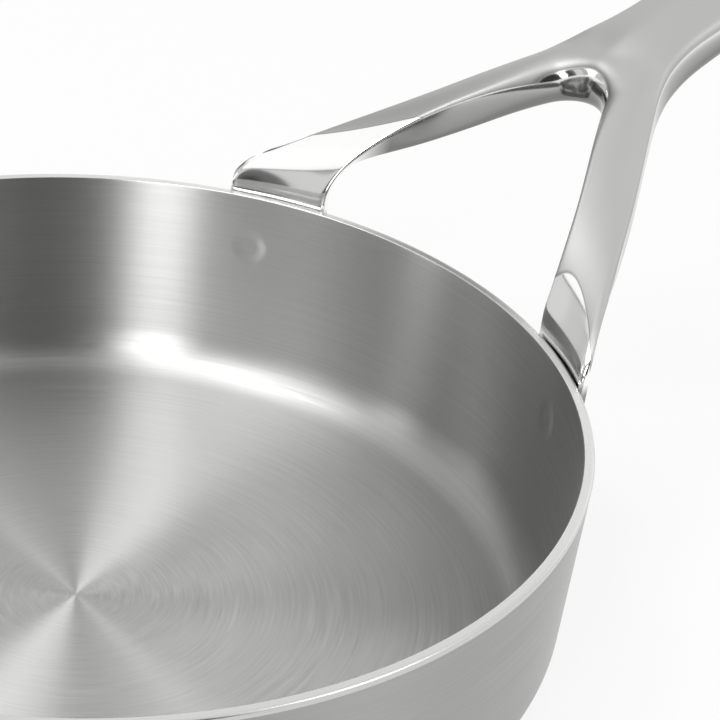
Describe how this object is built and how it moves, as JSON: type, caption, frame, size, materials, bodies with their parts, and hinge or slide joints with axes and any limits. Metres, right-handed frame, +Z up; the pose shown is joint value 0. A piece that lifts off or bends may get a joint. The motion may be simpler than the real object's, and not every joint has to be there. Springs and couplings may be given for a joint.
{
  "type": "frying pan",
  "caption": "Frying pan of five-layer steel and aluminium sheet with a low straight wall and a solid forked handle welded to it.",
  "frame": {"origin": "centre of the base's underside, where the pan rests", "axes": "+X along the handle, away from the pan, +Z up through the pan's mouth"},
  "size_m": [0.4419, 0.2398, 0.1267],
  "materials": {
    "brushed_cooking_steel": "fine circular brushing",
    "alloy_bond": "rolled",
    "pure_aluminium": "rolled",
    "satin_magnetic_steel": "satin",
    "ground_weld_steel": "ground",
    "cast_steel": "satin top and polished sides"
  },
  "bodies": {
    "root": {"cooking_layer": "brushed_cooking_steel", "upper_bond_layer": "alloy_bond", "aluminium_core": "pure_aluminium", "lower_bond_layer": "alloy_bond", "outer_layer": "satin_magnetic_steel", "rim_seal": "ground_weld_steel", "handle_casting": "cast_steel", "left_weld_nugget": "ground_weld_steel", "right_weld_nugget": "ground_weld_steel"}
  },
  "joints": []
}
